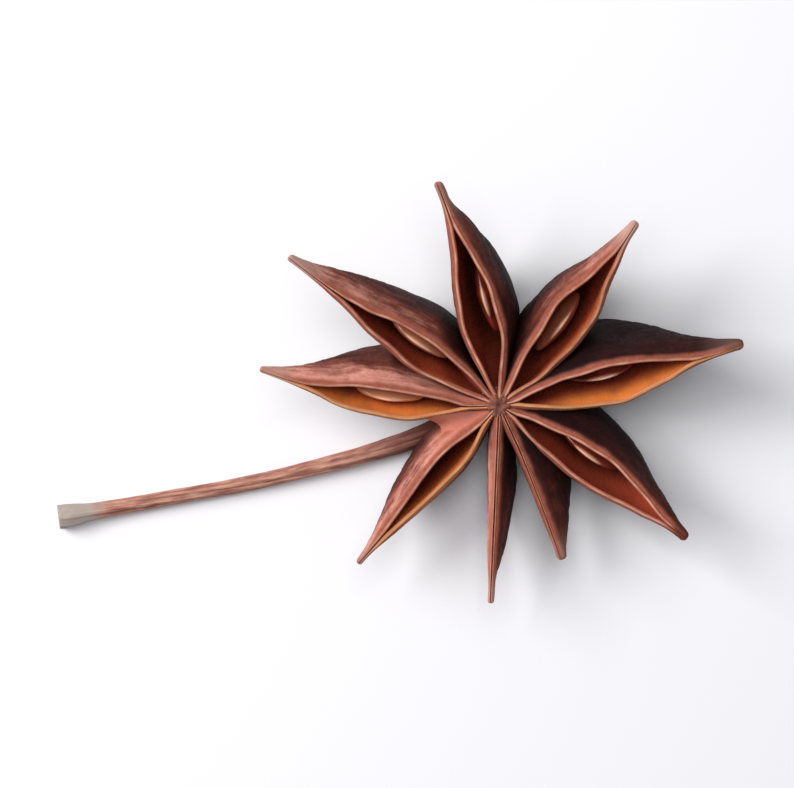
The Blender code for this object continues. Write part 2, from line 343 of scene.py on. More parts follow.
@dataclass(frozen=True)
class HuskFinish:
    """Dried woody pod wall, sun-dried until it split: dull and mottled outside, polished inside."""

    dark_skin: str = "#200c10"
    mid_skin: str = "#7f4134"
    pale_skin: str = "#e29a88"
    near_hub: str = "#bc6e5c"
    # crease darkens the grain, and also paints shade into wrinkle creases and where carpels press together.
    crease: str = "#190b0a"
    lip: str = "#94503f"
    pale_lip: str = "#b67058"
    # lit_lip and lit_crest are painted light on the lips of the lit side.
    lit_lip: str = "#cc8456"
    crest: str = "#e0aa92"
    lit_crest: str = "#f2b67c"
    tip: str = "#c29c8e"
    # Painted light and shade on the lining: lit orange near the rim, deep and dark further into the hollow; the
    # mottle and fibres reuse the darker two.
    lining_lit: str = "#ea863f"
    lining_mid: str = "#b04c30"
    lining_deep: str = "#a0442e"
    lining_dark: str = "#66291c"
    mottle_mm: float = 2.6
    grain_mm: float = 0.28
    fibre_mm: float = 0.30
    streak_mm: float = 0.7
    through_mm: float = 0.8

    def marks(self, tree: bpy.types.NodeTree, *names: str) -> dict[str, bpy.types.NodeSocket]:
        """Reads the numbers that the mesh's vertices carry."""
        return {
            name: add_node(tree, "ShaderNodeAttribute", {"attribute_name": name}).outputs["Fac"]
            for name in names
        }

    def grain(self, tree: bpy.types.NodeTree) -> bpy.types.NodeSocket:
        """Grain of a quarter of a millimetre, which keeps dry skin from looking moulded."""
        spot = add_node(tree, "ShaderNodeTexCoord").outputs["Object"]
        inputs = {"Vector": spot, "Scale": 1 / (self.grain_mm * MM), "Detail": 4.0, "Roughness": 0.65}
        return add_node(tree, "ShaderNodeTexNoise", {}, inputs).outputs[0]

    def worn_and_painted_light(
        self, tree: bpy.types.NodeTree, body: bpy.types.NodeSocket, grain: bpy.types.NodeSocket
    ) -> bpy.types.NodeSocket:
        """Pales a colour where the wall is broken edge or sun-bleached tip, and paints light on the lips: lit orange
        on the lit side, and a crest line that is partly its own pale edge, partly a painted highlight.

        Args:
            tree: The material's node tree.
            body: The colour elsewhere.
            grain: The fine grain, which breaks up the pale line of the edge.

        Returns:
            The colour all over.
        """
        marks = self.marks(tree, "lip", "crest", "tip", "painted_light")
        edge = mixed(tree, ranged(tree, grain, 0.35, 0.8, 0.0, 0.6), linear(self.lip), linear(self.pale_lip))
        # Painted light: on the lit side the lip band turns lit orange.
        edge = mixed(tree, ranged(tree, marks["painted_light"], 0.3, 1.0, 0.0, 0.75), edge, linear(self.lit_lip))
        colour = mixed(tree, marks["lip"], body, edge)
        # The crest along the lip's top is partly its own pale edge and partly a painted highlight, painted lit
        # orange on the lit side.
        crest = mixed(tree, ranged(tree, marks["painted_light"], 0.3, 0.9), linear(self.crest), linear(self.lit_crest))
        colour = mixed(tree, ranged(tree, marks["crest"], 0.15, 0.95, 0.0, 0.9), colour, crest)
        return mixed(tree, marks["tip"], colour, linear(self.tip))

    def make_skin(self) -> bpy.types.Material:
        """Builds the outer skin's material.

        Returns:
            The material. It reads the marks along, across, tone, relief, glow, lip and tip of its mesh.
        """
        made, tree, shader = blank_material("dried_pod_skin")
        marks = self.marks(tree, "along", "across", "tone", "relief", "outer")
        spot = add_node(tree, "ShaderNodeTexCoord").outputs["Object"]
        # Mottling a few millimetres wide tells the eye that the skin dried unevenly.
        inputs = {"Vector": spot, "Scale": 1 / (self.mottle_mm * MM), "Detail": 5.0, "Roughness": 0.6}
        mottle = add_node(tree, "ShaderNodeTexNoise", {}, inputs).outputs[0]
        grain = self.grain(tree)
        uneven = worked(tree, "MULTIPLY", marks["tone"], ranged(tree, mottle, 0.3, 0.7, 0.75, 1.2))
        # Painted shade: the skin darkens down the flank from the rim towards the keel.
        shaded = ranged(tree, marks["across"], 0.3, 4.0, 1.2, 0.3)
        uneven = worked(tree, "MULTIPLY", uneven, shaded)
        # Painted shade: darker carpels darken towards the hub, where the carpels crowd together, and brighten a
        # little towards the tip; pale ones are spared.
        painted_hub_shade = ranged(tree, marks["along"], 2.5, 14.0, 0.3, 1.3)
        even = ranged(tree, marks["tone"], 0.6, 0.8)
        painted_hub_shade = worked(tree, "MULTIPLY_ADD", worked(tree, "SUBTRACT", 1.0, painted_hub_shade), even, painted_hub_shade)
        uneven = worked(tree, "MULTIPLY", uneven, painted_hub_shade)
        # Streaks run from hub to tip, as the fibres under the skin do.
        run = add_node(tree, "ShaderNodeCombineXYZ", {}, {0: marks["along"], 1: marks["across"]}).outputs[0]
        inputs = {"Vector": run, "Scale": (0.22, 1 / self.streak_mm, 1.0)}
        stretched = add_node(tree, "ShaderNodeMapping", {}, inputs).outputs[0]
        inputs = {"Vector": stretched, "Scale": 1.0, "Detail": 4.0, "Roughness": 0.6}
        streak = add_node(tree, "ShaderNodeTexNoise", {}, inputs).outputs[0]
        uneven = worked(tree, "MULTIPLY", uneven, ranged(tree, streak, 0.35, 0.65, 0.72, 1.25))
        skin = mixed(tree, ranged(tree, uneven, 0.0, 0.5), linear(self.dark_skin), linear(self.mid_skin))
        skin = mixed(tree, ranged(tree, uneven, 0.35, 1.0), skin, linear(self.pale_skin))
        skin = mixed(tree, ranged(tree, grain, 0.3, 0.75, 0.0, 0.30), skin, linear(self.crease))
        # Painted shade in the creases of the wrinkles.
        skin = mixed(tree, ranged(tree, marks["relief"], -0.85, 0.15, 0.30, 0.0), skin, linear(self.crease))
        hubward = ranged(tree, marks["along"], 3.0, 8.0, 0.75, 0.0)
        # Painted shade where a flank presses against its neighbour, on darker carpels.
        painted_gap_shade = ranged(tree, marks["outer"], 0.2, 0.9, 0.7, 0.0)
        painted_gap_shade = worked(tree, "MULTIPLY", painted_gap_shade, ranged(tree, marks["tone"], 0.45, 0.75, 1.0, 0.1))
        skin = mixed(tree, painted_gap_shade, skin, linear(self.crease))
        hubward = worked(tree, "MULTIPLY", hubward, ranged(tree, marks["tone"], 0.74, 0.8))
        skin = mixed(tree, hubward, skin, linear(self.near_hub))
        tree.links.new(self.worn_and_painted_light(tree, skin, grain), shader.inputs["Base Color"])
        tree.links.new(ranged(tree, grain, 0.3, 0.7, 0.55, 0.75), shader.inputs["Roughness"])
        # Dry bark-like skin has almost no mirror to it, so its dark parts stay dark.
        shader.inputs["Specular IOR Level"].default_value = 0.08
        inputs = {"Strength": 0.35, "Distance": 0.06 * MM, "Height": grain}
        bump = add_node(tree, "ShaderNodeBump", {}, inputs).outputs[0]
        tree.links.new(bump, shader.inputs["Normal"])
        return made

    def make_lining(self) -> bpy.types.Material:
        """Builds the inner wall's material.

        Returns:
            The material. It reads the marks along, across, glow, lip and tip of its mesh.
        """
        made, tree, shader = blank_material("polished_pod_lining")
        marks = self.marks(tree, "along", "across", "painted_light")
        grain = self.grain(tree)
        # Fibres a third of a millimetre apart run down the wall from its edge to its keel.
        run = add_node(tree, "ShaderNodeCombineXYZ", {}, {0: marks["along"], 1: marks["across"]}).outputs[0]
        inputs = {"Vector": run, "Scale": (1 / self.fibre_mm, 0.35, 1.0)}
        stretched = add_node(tree, "ShaderNodeMapping", {}, inputs).outputs[0]
        inputs = {"Vector": stretched, "Scale": 1.0, "Detail": 3.0, "Roughness": 0.55}
        fibre = add_node(tree, "ShaderNodeTexNoise", {}, inputs).outputs[0]
        spot = add_node(tree, "ShaderNodeTexCoord").outputs["Object"]
        inputs = {"Vector": spot, "Scale": 1 / (self.mottle_mm * MM), "Detail": 3.0, "Roughness": 0.5}
        mottle = add_node(tree, "ShaderNodeTexNoise", {}, inputs).outputs[0]
        # Painted light and shade: lit orange near the rim, maroon and near black deeper in the hollow; walls with
        # more painted light stay lit deeper.
        reach = worked(tree, "MULTIPLY_ADD", marks["painted_light"], 2.1, 0.4)
        depth = worked(tree, "DIVIDE", marks["across"], reach)
        middle = mixed(tree, marks["painted_light"], linear(self.lining_mid), linear(self.lining_lit))
        wall = mixed(tree, ranged(tree, depth, 0.2, 1.1), middle, linear(self.lining_deep))
        wall = mixed(tree, ranged(tree, marks["across"], 2.2, 4.5), wall, linear(self.lining_dark))
        wall = mixed(tree, ranged(tree, fibre, 0.35, 0.7, 0.0, 0.14), wall, linear(self.lining_deep))
        # Patches two or three millimetres wide stay dark, so the wall doesn't look painted.
        wall = mixed(tree, ranged(tree, mottle, 0.42, 0.68, 0.0, 0.3), wall, linear(self.lining_dark))
        # Painted shade on the lining near the hub, where the mouth is shut.
        painted_lining_hub_shade = ranged(tree, marks["along"], 1.5, 6.5, 0.85, 0.0)
        hubward = mixed(tree, marks["painted_light"], linear(self.lining_dark), linear(self.lining_deep))
        wall = mixed(tree, painted_lining_hub_shade, wall, hubward)
        tree.links.new(self.worn_and_painted_light(tree, wall, grain), shader.inputs["Base Color"])
        tree.links.new(ranged(tree, fibre, 0.3, 0.7, 0.22, 0.36), shader.inputs["Roughness"])
        shader.inputs["IOR"].default_value = 1.5
        # Light that falls on the thin wall from outside comes through it dark red.
        shader.inputs["Subsurface Weight"].default_value = 0.3
        shader.inputs["Subsurface Radius"].default_value = (1.0, 0.35, 0.15)
        shader.inputs["Subsurface Scale"].default_value = self.through_mm * MM
        inputs = {"Strength": 0.16, "Distance": 0.04 * MM, "Height": fibre}
        bump = add_node(tree, "ShaderNodeBump", {}, inputs).outputs[0]
        tree.links.new(bump, shader.inputs["Normal"])
        return made


@dataclass(frozen=True)
class SeedFinish:
    """Hard seed coat, polished by nature: a lacquered chestnut brown."""

    body: str = "#7e3020"
    shade: str = "#561c14"
    pale_and_lit: str = "#dc9068"
    edge: str = "#f4bc9c"
    mottle_mm: float = 1.6

    def make(self) -> bpy.types.Material:
        """Builds the material, which reads the marks edge and pale of its mesh."""
        made, tree, shader = blank_material("polished_seed_coat")
        spot = add_node(tree, "ShaderNodeTexCoord").outputs["Object"]
        mottle = add_node(
            tree,
            "ShaderNodeTexNoise",
            {},
            {"Vector": spot, "Scale": 1 / (self.mottle_mm * MM), "Detail": 3.0},
        ).outputs[0]
        edge = add_node(tree, "ShaderNodeAttribute", {"attribute_name": "edge"}).outputs["Fac"]
        pale = add_node(tree, "ShaderNodeAttribute", {"attribute_name": "pale"}).outputs["Fac"]
        colour = mixed(tree, ranged(tree, mottle, 0.35, 0.65), linear(self.body), linear(self.shade))
        # Seeds in paler carpels are paler: partly their own colour, partly painted light.
        colour = mixed(tree, pale, colour, linear(self.pale_and_lit))
        # Painted highlight along the seed's top edge.
        colour = mixed(tree, edge, colour, linear(self.edge))
        tree.links.new(colour, shader.inputs["Base Color"])
        # A clear, hard gloss tells a seed from the wall that holds it.
        shader.inputs["Roughness"].default_value = 0.26
        shader.inputs["IOR"].default_value = 1.53
        shader.inputs["Coat Weight"].default_value = 0.2
        shader.inputs["Coat Roughness"].default_value = 0.12
        return made


@dataclass(frozen=True)
class StalkFinish:
    """Dried fruit stalk: a thin reddish bark, wrinkled lengthways, gone grey towards the broken end."""

    bark: str = "#c48f79"
    dark_bark: str = "#84493c"
    near_hub: str = "#64291f"
    grey_end: str = "#a89a90"
    pith: str = "#7d6a5c"
    grain_mm: float = 0.35

    def make(self) -> bpy.types.Material:
        """Builds the material, which reads the marks along, across, relief, grey and pith of its mesh."""
        made, tree, shader = blank_material("dried_stalk_bark")
        marks = {
            name: add_node(tree, "ShaderNodeAttribute", {"attribute_name": name}).outputs["Fac"]
            for name in ("along", "across", "relief", "grey", "pith")
        }
        spot = add_node(tree, "ShaderNodeTexCoord").outputs["Object"]
        run = add_node(tree, "ShaderNodeCombineXYZ", {}, {0: marks["along"], 1: marks["across"]}).outputs[0]
        stretched = add_node(
            tree, "ShaderNodeMapping", {}, {"Vector": run, "Scale": (0.45, 1 / self.grain_mm, 1.0)}
        ).outputs[0]
        streak = add_node(
            tree, "ShaderNodeTexNoise", {}, {"Vector": stretched, "Scale": 1.0, "Detail": 4.0, "Roughness": 0.6}
        ).outputs[0]
        blotch = add_node(
            tree, "ShaderNodeTexNoise", {}, {"Vector": spot, "Scale": 1 / (2.2 * MM), "Detail": 4.0}
        ).outputs[0]
        colour = mixed(tree, ranged(tree, streak, 0.35, 0.7), linear(self.bark), linear(self.dark_bark))
        colour = mixed(tree, ranged(tree, blotch, 0.45, 0.7, 0.0, 0.45), colour, linear(self.dark_bark))
        # Painted shade in the grooves between the ridges.
        colour = mixed(tree, ranged(tree, marks["relief"], -0.8, 0.0, 0.5, 0.0), colour, linear(self.dark_bark))
        # Painted shade: the stalk darkens towards the hub, under the pod.
        near = ranged(tree, marks["along"], 6.0, 17.0, 0.85, 0.0)
        colour = mixed(tree, near, colour, linear(self.near_hub))
        colour = mixed(tree, marks["grey"], colour, linear(self.grey_end))
        colour = mixed(tree, marks["pith"], colour, linear(self.pith))
        tree.links.new(colour, shader.inputs["Base Color"])
        shader.inputs["Roughness"].default_value = 0.6
        bump = add_node(
            tree, "ShaderNodeBump", {}, {"Strength": 0.5, "Distance": 0.05 * MM, "Height": streak}
        ).outputs[0]
        tree.links.new(bump, shader.inputs["Normal"])
        return made


@dataclass(frozen=True)
class CorkFinish:
    """Corky tissue of the column and of the collar over the stalk: rough, brown and crumbly."""

    body: str = "#6b3325"
    painted_hollow_shade: str = "#1e0b08"
    flake: str = "#965b48"
    grain_mm: float = 0.45

    def make(self) -> bpy.types.Material:
        """Builds the material, which reads the mark relief of its mesh."""
        made, tree, shader = blank_material("corky_column")
        spot = add_node(tree, "ShaderNodeTexCoord").outputs["Object"]
        relief = add_node(tree, "ShaderNodeAttribute", {"attribute_name": "relief"}).outputs["Fac"]
        grain = add_node(
            tree,
            "ShaderNodeTexNoise",
            {},
            {"Vector": spot, "Scale": 1 / (self.grain_mm * MM), "Detail": 5.0, "Roughness": 0.65},
        ).outputs[0]
        colour = mixed(tree, ranged(tree, grain, 0.35, 0.7), linear(self.body), linear(self.flake))
        # Painted shade in the pit on top and in the hollows of the crumbly relief.
        colour = mixed(tree, ranged(tree, relief, -0.7, 0.1, 0.9, 0.0), colour, linear(self.painted_hollow_shade))
        tree.links.new(colour, shader.inputs["Base Color"])
        shader.inputs["Roughness"].default_value = 0.78
        bump = add_node(
            tree, "ShaderNodeBump", {}, {"Strength": 0.6, "Distance": 0.08 * MM, "Height": grain}
        ).outputs[0]
        tree.links.new(bump, shader.inputs["Normal"])
        return made


@dataclass
class Carpel:
    """One boat-shaped carpel: a woody wall round a hollow, open along the suture on top."""

    plan: CarpelPlan
    left: CarpelPlan
    right: CarpelPlan
    along_count: int = 190
    outer_count: int = 44
    lip_count: int = 8
    inner_count: int = 28
    lip_mm: float = 0.36
    lip_at_tip: float = 0.8  # share of its thickness that a lip keeps
    flank_wall_mm: float = 0.5
    keel_wall_mm: float = 1.0
    closed_slit_mm: float = 0.03
    party_wall_mm: float = 0.35
    dent_mm: float = 0.26
    wrinkle_mm: float = 0.09

    def ring(self) -> list[tuple[Zone, int, float]]:
        """The spots round a section, in order.

        Returns:
            For each spot its zone, its side (1 left, -1 right) and its share of the way: from rim to keel on
            a wall, and from outside to inside on a lip.
        """
        outer = [i / self.outer_count for i in range(self.outer_count)]
        inner = [i / self.inner_count for i in range(self.inner_count)]
        lip = [(i + 0.5) / self.lip_count for i in range(self.lip_count)]
        spots = [(Zone.OUTER, 1, t) for t in outer]
        spots += [(Zone.OUTER, -1, 1 - t) for t in outer]
        spots += [(Zone.LIP, -1, t) for t in lip]
        spots += [(Zone.INNER, -1, t) for t in inner]
        spots += [(Zone.INNER, 1, 1 - t) for t in inner]
        spots += [(Zone.LIP, 1, 1 - t) for t in lip]
        return spots

    def axes(self, s: Array) -> tuple[Array, Array, Array]:
        """The suture's points at shares of the length, and the directions to the left and up there."""
        plan = self.plan
        turn = math.radians(plan.azimuth)
        out = np.array((math.cos(turn), math.sin(turn), 0.0))
        left = np.array((-math.sin(turn), math.cos(turn), 0.0))
        up = np.array((0.0, 0.0, 1.0))
        centre = (
            np.outer(plan.length * s, out)
            + np.outer(plan.bow * 4 * s * (1 - s), left)
            + np.outer(plan.rise * s**1.6, up)
        )
        roll = math.radians(plan.roll) * smooth(s / ROLL_FROM_HUB)
        cos, sin = np.cos(roll)[:, None], np.sin(roll)[:, None]
        return centre, left * cos - up * sin, up * cos + left * sin

    def half_mouth(self, s: Array) -> Array:
        """Half the width of the mouth at shares of the length."""
        plan = self.plan
        parting = np.clip((s - plan.opens) / (plan.widest - plan.opens), 0.0, 1.0)
        closing = smooth((plan.closes - s) / (plan.closes - plan.widest))
        return plan.gape / 2 * np.where(s < plan.widest, np.sin(math.pi / 2 * parting), closing)

    def beside(self, reach: Array, side: int, under: Array) -> Array:
        """Points just outside one lip.

        Args:
            reach: Distances from the hub.
            side: 1 for its left lip, -1 for its right.
            under: How far each lies below the lip's top.

        Returns:
            The points, in the pod's own frame.
        """
        s = reach / self.plan.length
        centre, left, up = self.axes(s)
        return centre + left * (side * (self.half_mouth(s) + 0.3 * self.lip_mm))[:, None] - up * under[:, None]

    def room(self, s: Array, side: Array, depth: Array) -> Array:
        """How far a carpel may reach sideways before it meets its neighbour.

        Args:
            s: Shares of its length.
            side: 1 for its left, -1 for its right.
            depth: Depths under its rim.

        Returns:
            The distances from its middle plane to half-way between it and its neighbour's.
        """
        plan = self.plan
        reach = s * plan.length
        lean = math.sin(math.radians(plan.roll)) * smooth(s / ROLL_FROM_HUB)
        rooms = []
        for neighbour, sign in ((self.left, 1), (self.right, -1)):
            turn = math.radians((neighbour.azimuth - plan.azimuth) * sign % 360)
            other = math.sin(math.radians(neighbour.roll)) * smooth(reach / neighbour.length / ROLL_FROM_HUB)
            rooms.append(reach * math.tan(turn / 2) + 0.5 * depth * (lean - other) * sign)
        return np.maximum(np.where(side > 0, rooms[0], rooms[1]), 0.28)

    def build(self) -> bmesh.types.BMesh:
        """Wraps a grid round the wall, inside and out, and wrinkles it.

        Returns:
            The closed mesh where it lies, in metres.
        """
        plan = self.plan
        spots = self.ring()
        count = len(spots)
        bm = bmesh.new()
        bmesh.ops.create_grid(bm, x_segments=self.along_count, y_segments=count, size=1.0)
        flat = places_of(bm)
        u = (flat[:, 0] + 1) / 2
        s = 0.75 * (1 - np.cos(math.pi * u)) / 2 + 0.25 * u
        turn = np.rint((flat[:, 1] + 1) / 2 * count).astype(int) % count
        zone = np.array([spot[0].value for spot in spots])[turn]
        side = np.array([spot[1] for spot in spots])[turn]
        t = np.array([spot[2] for spot in spots])[turn]

        seed = plan.azimuth / 10
        line = np.stack([s * plan.length / 3.2, side * 3.0, np.full_like(s, seed)], axis=1)
        sway = speckle(line, 1.0, 1.0) * 0.26
        lift = speckle(line, 1.0, 2.0) * 0.16
        gate = smooth(s / 0.2) * smooth((1 - s) / 0.15)

        pinch = 0.45 + 0.55 * smooth((1 - s) / 0.22)
        rim = self.half_mouth(s)
        lip = self.lip_mm * (self.lip_at_tip + (1 - self.lip_at_tip) * smooth((1 - s) / 0.2))
        keel = np.maximum(plan.depth * through(KEEL_LINE, s), 1.8 * plan.tip)
        swelling = np.hypot(pinch * plan.belly * swell(s, 0.40) ** 0.8, plan.tip * (1.9 - 0.9 * s))
        rim_out = rim + lip / 2
        rim_in = np.maximum(rim - lip / 2, self.closed_slit_mm)
        crown = np.minimum(0.4 * (rim_out - rim_in), keel / 3)
        open_share = np.clip((s - 0.07) / (0.94 - 0.07), 0, 1)
        hollow = 0.3 + (keel - self.keel_wall_mm - 0.3) * np.maximum(np.sin(math.pi * open_share), 0) ** 0.6
        hollow = np.clip(hollow, 0.12 * keel, None)
        swelling_in = np.maximum(swelling - self.flank_wall_mm, 0.01)

        round_t = (1 - np.cos(math.pi * t)) / 2
        x_out = rim_out * (1 - t) + swelling * np.sin(math.pi * t)
        z_out = -crown - (keel - crown) * round_t
        flare = np.where(side == math.copysign(1, plan.roll), 1.0 - 0.6 * plan.painted_light, 1.0)
        x_in = rim_in * (1 - t) + flare * swelling_in * np.sin(math.pi * t)
        z_in = -crown - (hollow - crown) * round_t
        free = smooth((self.room(s, side, -z_out) - x_out) / 0.8)
        x_out = np.minimum(x_out, self.room(s, side, -z_out) + 0.06)
        inner_room = self.room(s, side, -z_in) - self.party_wall_mm
        x_in = np.minimum(x_in, np.maximum(inner_room, self.closed_slit_mm))
        half = (rim_out - rim_in) / 2
        x_lip = (rim_out + rim_in) / 2 + half * np.cos(math.pi * t)
        z_lip = -crown + crown * np.sin(math.pi * t)
        x = np.choose(zone, (x_out, x_lip, x_in))
        z = np.choose(zone, (z_out, z_lip, z_in))
        hold = np.where(zone == Zone.LIP.value, 1.0, (1 - t) ** 2)
        x = np.maximum(x + sway * gate * hold * np.minimum(rim / 0.6, 1), 0.0) * side
        z = z + np.minimum(lift, 0.0) * gate * hold

        centre, left, up = self.axes(s)
        places = centre + left * x[:, None] + up * z[:, None]
        core = np.array((0.0, 0.0, -2.6))
        tip_centre, _, tip_up = self.axes(np.array([1.0]))
        tip = (tip_centre - 0.9 * plan.tip * tip_up)[0]
        to_core = np.minimum(s / 0.012, 1.0)[:, None]
        to_tip = np.sqrt(1 - (1 - np.minimum((1 - s) / (1.2 * plan.tip / plan.length), 1.0)) ** 2)[:, None]
        places = core + (places - core) * to_core
        places = tip + (places - tip) * to_tip
        put(bm, places)

        outside = zone == Zone.OUTER.value
        from_rim = np.where(zone == Zone.LIP.value, 0.0, -(z + crown))
        mark(bm, "along", s * plan.length)
        mark(bm, "across", np.maximum(from_rim, 0.0))
        mark(bm, "inside", np.where(outside, 0.0, np.where(zone == Zone.INNER.value, 1.0, smooth(t * 2 - 1))))
        reach = np.hypot(from_rim, x * side - np.where(outside, rim_out, rim_in))
        ragged = 0.28 + 0.12 * speckle(line, 0.25, 5.0)
        fade = np.where(outside, smooth((ragged - reach) / 0.45 + 0.5), np.exp(-((reach / 0.12) ** 2)))
        # A carpel that stayed shut shows less of its edge, and so does a beak that never faded.
        broken = (1.0 if plan.gape else 0.75) * (1 - 0.75 * (1 - plan.fade) * smooth((s - 0.88) / 0.08))
        mark(bm, "lip", broken * np.where(zone == Zone.LIP.value, 1.0, fade))
        # A pale crest along each lip's top: partly its own paler edge, partly a painted highlight.
        crest = np.where(zone == Zone.LIP.value, np.exp(-(((t - 0.45) / 0.24) ** 2)), 0.0)
        mark(bm, "crest", broken * crest * (0.65 + 0.35 * speckle(line, 0.3, 7.0)))
        # Skin paleness on each side: partly the carpel's own colour, partly painted light and shade from the window
        # light.
        mark(bm, "tone", np.where(side > 0, *plan.tone) * (1 - plan.dulled * smooth((s - 0.3) / 0.35)))
        lit = np.where(zone == Zone.LIP.value, 1.0, smooth((s - 0.06) / 0.24) * smooth((0.90 - s) / 0.26))
        # Painted light on the lining and the lips: full on the side the mouth leans to and a quarter on the other,
        # fading near hub and tip.
        mark(bm, "painted_light", lit * np.where(side == math.copysign(1, plan.roll), plan.painted_light, 0.25 * plan.painted_light))
        faded = plan.fade * smooth((s - 0.80) / 0.17)
        mark(bm, "tip", faded * np.where(zone == Zone.INNER.value, 0.3, 0.9))
        # outer picks the outside, and falls to 0.2 where a flank presses on its neighbour, where the skin paints
        # shade.
        mark(bm, "outer", outside * (0.2 + 0.8 * free))
        close_up(bm)
        for face in bm.faces:
            face.material_index = int(sum(vert[bm.verts.layers.float["inside"]] for vert in face.verts) > 2)
        self.wrinkle_skin(bm)
        bm.transform(lay_down())
        put(bm, rest_on_table(places_of(bm)))
        return bm

    def wrinkle_skin(self, bm: bmesh.types.BMesh) -> None:
        """Dents and creases the skin as drying does, and ripples the inner wall a little."""
        seed = self.plan.azimuth / 7
        places, normals = places_of(bm), normals_of(bm)
        s = marked(bm, "along") / self.plan.length
        outer = marked(bm, "outer")
        away = smooth(marked(bm, "across") / 1.2)
        gate = smooth((1 - s) / 0.12) * smooth(s / 0.06)
        turn = math.radians(self.plan.azimuth)
        out = np.array((math.cos(turn), math.sin(turn), 0.0))
        squeezed = places - np.outer(places @ out, out) * 0.55
        dent = speckle(places, 4.2, seed)
        crease = wrinkle(squeezed, 1.5, seed + 3) * 0.6 + wrinkle(squeezed, 0.8, seed + 5) * 0.4
        relief = crease - 0.85
        depth = outer * away * gate * (self.dent_mm * (dent - 0.25) + self.wrinkle_mm * relief)
        ripple = (1 - outer) * away * gate * 0.03 * speckle(places, 1.1, seed + 9)
        put(bm, places + normals * (depth + ripple)[:, None])
        mark(bm, "relief", relief * outer * away)

    def dress(self, bm: bmesh.types.BMesh, *finishes: bpy.types.Material) -> bpy.types.Object:
        """Makes the piece of its skin and its lining, and sets it in the frame."""
        piece = finish_piece(f"carpel_{self.plan.name}", bm, *finishes)
        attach(piece, "root")
        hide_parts("pod")
        return piece


@dataclass
class FusedFlank:
    """Skin that still joins two neighbouring carpels beside the column, where they never came apart."""

    first: Carpel  # reached by its left side
    second: Carpel  # reached by its right side
    start_mm: float = 1.0
    reach_mm: float = 6.2
    notch_mm: float = 0.9
    sag_mm: float = 0.45
    thickness_mm: float = 0.35
    along_count: int = 48
    across_count: int = 28

    def build(self) -> bmesh.types.BMesh:
        """Hangs a sheet between the two lips and gives it thickness.

        Returns:
            The closed mesh where it lies, in metres.
        """
        bm = bmesh.new()
        bmesh.ops.create_grid(bm, x_segments=self.along_count, y_segments=self.across_count, size=1.0)
        flat = (places_of(bm) + 1) / 2
        over = flat[:, 1]
        reach = self.start_mm + (self.reach_mm - self.start_mm - self.notch_mm * np.sin(math.pi * over)) * flat[:, 0]
        near = self.first.beside(reach, 1, np.full_like(over, 0.12))
        far = self.second.beside(reach, -1, 0.3 + 0.8 * flat[:, 0] ** 2)
        places = near + (far - near) * over[:, None]
        bend = np.sin(math.pi * over) * (0.4 + 0.6 * smooth(flat[:, 0]))
        places[:, 2] -= self.sag_mm * bend + 0.5 * smooth((flat[:, 0] - 0.75) / 0.25) * np.sin(math.pi * over)
        places[:, 2] += 0.10 * speckle(places, 1.6, 41.0) * np.sin(math.pi * over)
        put(bm, places)
        mark(bm, "along", 0.45 * reach)
        for name, value in (("across", 0.3), ("tone", 0.84), ("outer", 1.0), ("lip", 0.0), ("crest", 0.0)):
            mark(bm, name, np.full(len(reach), value))
        for name in ("relief", "painted_light", "tip", "inside"):
            mark(bm, name, np.zeros(len(reach)))
        bmesh.ops.solidify(bm, geom=bm.faces[:], thickness=self.thickness_mm)
        bmesh.ops.recalc_face_normals(bm, faces=bm.faces)
        bm.transform(lay_down())
        return bm

    def dress(self, bm: bmesh.types.BMesh, skin: bpy.types.Material) -> bpy.types.Object:
        """Makes the piece and sets it in the frame."""
        piece = finish_piece(f"fused_flank_{self.first.plan.name}_{self.second.plan.name}", bm, skin)
        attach(piece, "root")
        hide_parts("pod")
        return piece


@dataclass
class Seed:
    """One flattened seed on edge in its carpel, a little pointed towards the hub."""

    carpel: Carpel
    length_mm: float = 6.1
    height_mm: float = 4.0
    thickness_mm: float = 1.8
    point: float = 0.22
    keel: float = 0.92  # from 0, round-edged, to 1, a sharp lens
    below_rim_mm: float = 0.9
    around: int = 48
    rings: int = 32

    def build(self) -> bmesh.types.BMesh:
        """Shapes a ball into the seed.

        Returns:
            The closed mesh where it lies, in metres.
        """
        plan = self.carpel.plan
        bm = bmesh.new()
        bmesh.ops.create_uvsphere(bm, u_segments=self.around, v_segments=self.rings, radius=1)
        bm.transform(Matrix.Rotation(math.pi / 2, 4, "Y"))
        ball = places_of(bm)
        slim = 1 - self.point * np.maximum(-ball[:, 0], 0)
        keeled = np.sqrt(1 - self.keel * ball[:, 2] ** 2)
        shaped = np.stack(
            [
                ball[:, 0] * self.length_mm / 2,
                ball[:, 1] * slim * keeled * self.thickness_mm / 2,
                ball[:, 2] * slim * self.height_mm / 2,
            ],
            axis=1,
        )
        shaped *= (1 - 0.03 * np.abs(speckle(shaped, 1.8, plan.azimuth)))[:, None]
        put(bm, shaped)
        # A painted highlight along the seed's top edge.
        mark(bm, "edge", 0.85 * smooth((ball[:, 2] - 0.86) / 0.12))
        # Paleness follows the carpel's skin: partly its own colour and partly painted light.
        mark(bm, "pale", np.full(len(ball), 0.9 * smooth((sum(plan.tone) - 0.5) / 0.7)))
        centre, left, up = self.carpel.axes(np.array([plan.seed_at / plan.length]))
        left, up = Vector(left[0]), Vector(up[0])
        middle = Vector(centre[0]) + left * plan.seed_shift - up * (self.height_mm / 2 + self.below_rim_mm)
        turned = Matrix((left.cross(up), left, up)).transposed().to_4x4()
        bm.transform(lay_down() @ Matrix.Translation(middle) @ turned)
        return bm

    def dress(self, bm: bmesh.types.BMesh, finish: bpy.types.Material) -> bpy.types.Object:
        """Makes the piece and sets it in the frame."""
        piece = finish_piece(f"polished_seed_{self.carpel.plan.name}", bm, finish)
        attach(piece, "root")
        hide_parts(f"seed_{self.carpel.plan.name}")
        return piece


